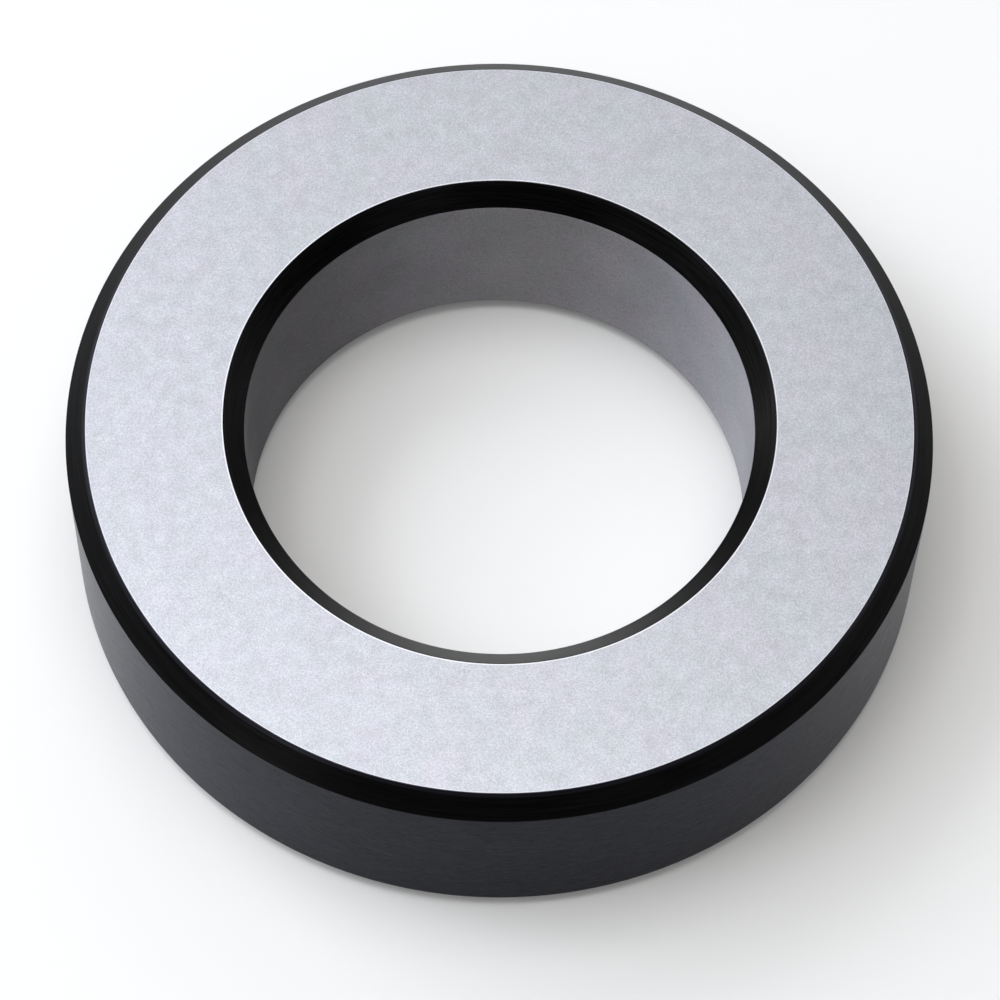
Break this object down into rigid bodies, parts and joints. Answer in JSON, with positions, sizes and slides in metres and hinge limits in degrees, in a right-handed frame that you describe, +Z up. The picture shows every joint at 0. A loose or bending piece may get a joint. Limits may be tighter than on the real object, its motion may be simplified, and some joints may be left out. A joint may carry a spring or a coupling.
{
  "type": "setting ring gauge",
  "caption": "Plain cylindrical setting ring: a thick steel ring with a lapped gauging bore, bright lapped faces, chamfered edges and a blackened rim.",
  "frame": {"origin": "centre of the bore on the lower flat face", "axes": "+Z up along the bore axis; the ring is round about it, so X and Y are free"},
  "size_m": [0.085, 0.085, 0.022],
  "materials": {
    "ring_steel": "flat faces and bore ground and lapped to a bright satin; rim and chamfers black oxide with fine turning lines"
  },
  "bodies": {
    "root": {"setting_ring": "ring_steel"}
  },
  "joints": []
}
